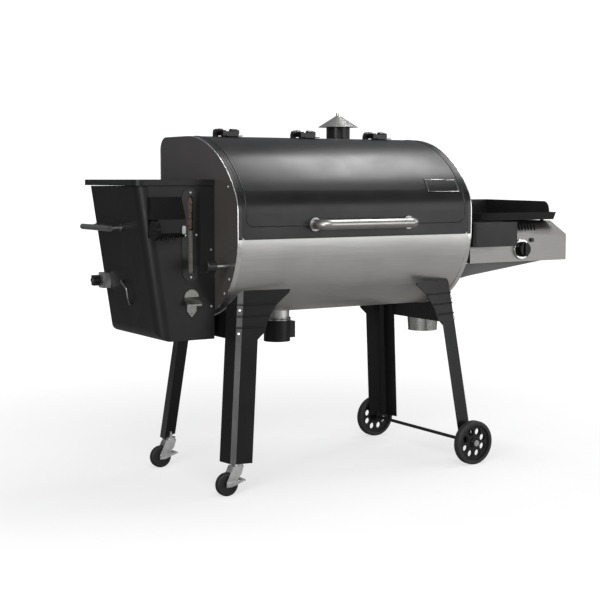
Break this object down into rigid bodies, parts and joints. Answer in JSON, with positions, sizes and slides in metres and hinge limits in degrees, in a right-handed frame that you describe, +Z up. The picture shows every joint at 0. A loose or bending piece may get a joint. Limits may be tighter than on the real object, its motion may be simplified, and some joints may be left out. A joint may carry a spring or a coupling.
{
  "type": "pellet smoker grill",
  "caption": "Barrel pellet smoker grill with hinged lid, pellet hopper and controller, chimney, side burner with griddle, and a cart on wheels and casters.",
  "frame": {"origin": "middle of the bounding box at floor level", "axes": "+X to the side burner along the barrel, +Y to the chimney side at the back, +Z up"},
  "size_m": [1.7674, 0.752, 1.262],
  "materials": {
    "barrel_steel": "satin stainless sheet",
    "cap_paint": "semi-gloss dark brown-grey powder coat",
    "black_enamel": "gloss black enamel",
    "satin_black": "satin black powder coat",
    "bright_steel": "polished stainless tube and trim",
    "brushed_steel": "brushed stainless sheet",
    "zinc": "bright zinc plating",
    "iron": "seasoned cast iron and porcelain wire",
    "griddle_iron": "matt black seasoned griddle",
    "bracket_grey": "dark grey satin paint",
    "raw_steel": "plain heat-stained sheet steel",
    "black_plastic": "moulded black plastic, fine texture",
    "gloss_plastic": "moulded black plastic, polished",
    "caster_plastic": "black caster tread",
    "tyre_rubber": "dark grey wheel, rubber tread",
    "clear_pane": "clear hopper window",
    "pellets": "pressed hardwood pellets"
  },
  "bodies": {
    "frame": {"barrel_shell": "barrel_steel", "end_cap_left": "cap_paint", "end_cap_right": "cap_paint", "end_rims": "bright_steel", "hinge_brackets": "satin_black", "hinge_pins": "satin_black", "chimney_pipe": "black_enamel", "grate_ledges": "raw_steel", "drip_tray": "raw_steel", "heat_baffle": "raw_steel", "fire_pot": "iron", "auger_tube": "raw_steel", "auger_motor": "zinc", "blower_housing": "satin_black", "hopper_shell": "satin_black", "window_frame": "satin_black", "window_pane": "clear_pane", "wood_pellets": "pellets", "controller_housing": "gloss_plastic", "bottle_opener": "brushed_steel", "side_handle": "zinc", "cleanout_bracket": "satin_black", "hopper_pull": "zinc", "left_legs": "satin_black", "right_legs": "satin_black", "leg_aprons": "satin_black", "axle": "zinc", "burner_box": "brushed_steel", "burner_bracket": "bracket_grey", "gas_burner": "raw_steel", "knob_bezel": "bright_steel", "screws_and_bolts": "zinc"},
    "lid": {"lid_shell": "black_enamel", "lid_handle": "bright_steel", "nameplate": "bright_steel", "hinge_leaves": "satin_black"},
    "chimney_cap": {"chimney_cap": "brushed_steel"},
    "cooking_grate": {"cooking_grate": "iron"},
    "warming_rack": {"warming_rack": "iron"},
    "auger_screw": {"auger_screw": "raw_steel"},
    "fan_wheel": {"fan_wheel": "zinc"},
    "ash_pull": {"ash_pull": "black_plastic"},
    "hopper_lid": {"hopper_lid": "satin_black"},
    "controller_dial": {"controller_dial": "gloss_plastic"},
    "power_button": {"power_button": "bright_steel"},
    "cleanout_knob": {"cleanout_knob": "black_plastic"},
    "wheel_front": {"wheel_front": "tyre_rubber"},
    "wheel_rear": {"wheel_rear": "tyre_rubber"},
    "caster_fork_front": {"caster_fork_front": "zinc"},
    "caster_fork_rear": {"caster_fork_rear": "zinc"},
    "caster_wheel_front": {"caster_wheel_front": "caster_plastic"},
    "caster_wheel_rear": {"caster_wheel_rear": "caster_plastic"},
    "brake_pedal_front": {"brake_pedal_front": "zinc"},
    "brake_pedal_rear": {"brake_pedal_rear": "zinc"},
    "burner_knob": {"burner_knob": "gloss_plastic"},
    "igniter_button": {"igniter_button": "black_plastic"},
    "griddle": {"griddle": "griddle_iron"},
    "grease_box": {"grease_box": "satin_black"},
    "ash_cup": {"ash_cup": "satin_black"},
    "grease_bucket": {"grease_bucket": "brushed_steel"}
  },
  "joints": [
    {"name": "lid_hinge", "type": "hinge", "parent": "frame", "child": "lid", "pos_m": [-0.1063, 0.058, 1.171], "axis": [-1, 0, 0], "range_deg": [0, 115]},
    {"name": "hopper_lid_hinge", "type": "hinge", "parent": "frame", "child": "hopper_lid", "pos_m": [-0.7183, 0.272, 0.991], "axis": [-1, 0, 0], "range_deg": [0, 100]},
    {"name": "chimney_cap_lift", "type": "slide", "parent": "frame", "child": "chimney_cap", "axis": [0, 0, 1], "range_m": [0, 0.03]},
    {"name": "cooking_grate_lift", "type": "slide", "parent": "frame", "child": "cooking_grate", "axis": [0, 0, 1], "range_m": [0, 0.025]},
    {"name": "warming_rack_lift", "type": "slide", "parent": "frame", "child": "warming_rack", "axis": [0, 0, 1], "range_m": [0, 0.06]},
    {"name": "auger_spin", "type": "hinge", "parent": "frame", "child": "auger_screw", "pos_m": [-0.2703, -0.032, 0.618], "axis": [1, 0, 0], "continuous": true},
    {"name": "fan_spin", "type": "hinge", "parent": "frame", "child": "fan_wheel", "pos_m": [-0.6863, 0.118, 0.59], "axis": [1, 0, 0], "continuous": true},
    {"name": "ash_pull_slide", "type": "slide", "parent": "frame", "child": "ash_pull", "axis": [-1, 0, 0], "range_m": [0, 0.055]},
    {"name": "controller_dial_turn", "type": "hinge", "parent": "frame", "child": "controller_dial", "pos_m": [-0.8063, -0.1875, 0.852], "axis": [-1, 0, 0], "range_deg": [0, 270]},
    {"name": "power_button_press", "type": "slide", "parent": "frame", "child": "power_button", "axis": [0, 1, 0], "range_m": [0, 0.003], "stiffness_N_per_m": 400},
    {"name": "cleanout_knob_pull", "type": "slide", "parent": "frame", "child": "cleanout_knob", "axis": [-1, 0, 0], "range_m": [0, 0.022], "stiffness_N_per_m": 300},
    {"name": "caster_swivel_front", "type": "hinge", "parent": "frame", "child": "caster_fork_front", "pos_m": [-0.5643, -0.275, 0.09], "axis": [0, 0, 1], "continuous": true},
    {"name": "caster_spin_front", "type": "hinge", "parent": "caster_fork_front", "child": "caster_wheel_front", "pos_m": [-0.6043, -0.275, 0.038], "axis": [0, 1, 0], "continuous": true},
    {"name": "brake_pedal_front_press", "type": "hinge", "parent": "caster_fork_front", "child": "brake_pedal_front", "pos_m": [-0.6043, -0.275, 0.038], "axis": [0, 1, 0], "range_deg": [0, 10]},
    {"name": "wheel_spin_front", "type": "hinge", "parent": "frame", "child": "wheel_front", "pos_m": [0.3617, -0.334, 0.078], "axis": [0, 1, 0], "continuous": true},
    {"name": "caster_swivel_rear", "type": "hinge", "parent": "frame", "child": "caster_fork_rear", "pos_m": [-0.5643, 0.211, 0.09], "axis": [0, 0, 1], "continuous": true},
    {"name": "caster_spin_rear", "type": "hinge", "parent": "caster_fork_rear", "child": "caster_wheel_rear", "pos_m": [-0.6043, 0.211, 0.038], "axis": [0, 1, 0], "continuous": true},
    {"name": "brake_pedal_rear_press", "type": "hinge", "parent": "caster_fork_rear", "child": "brake_pedal_rear", "pos_m": [-0.6043, 0.211, 0.038], "axis": [0, 1, 0], "range_deg": [0, 10]},
    {"name": "wheel_spin_rear", "type": "hinge", "parent": "frame", "child": "wheel_rear", "pos_m": [0.3617, 0.27, 0.078], "axis": [0, 1, 0], "continuous": true},
    {"name": "burner_knob_turn", "type": "hinge", "parent": "frame", "child": "burner_knob", "pos_m": [0.6607, -0.252, 0.753], "axis": [0, 1, 0], "range_deg": [-120, 0]},
    {"name": "igniter_press", "type": "slide", "parent": "frame", "child": "igniter_button", "axis": [0, 1, 0], "range_m": [0, 0.005], "stiffness_N_per_m": 500},
    {"name": "griddle_lift", "type": "slide", "parent": "frame", "child": "griddle", "axis": [0, 0, 1], "range_m": [0, 0.04]},
    {"name": "grease_box_slide", "type": "slide", "parent": "frame", "child": "grease_box", "axis": [0, -1, 0], "range_m": [0, 0.1]},
    {"name": "ash_cup_drop", "type": "slide", "parent": "frame", "child": "ash_cup", "axis": [0, 0, -1], "range_m": [0, 0.07]},
    {"name": "grease_bucket_lift", "type": "slide", "parent": "frame", "child": "grease_bucket", "axis": [0, 0, 1], "range_m": [0, 0.005]}
  ]
}
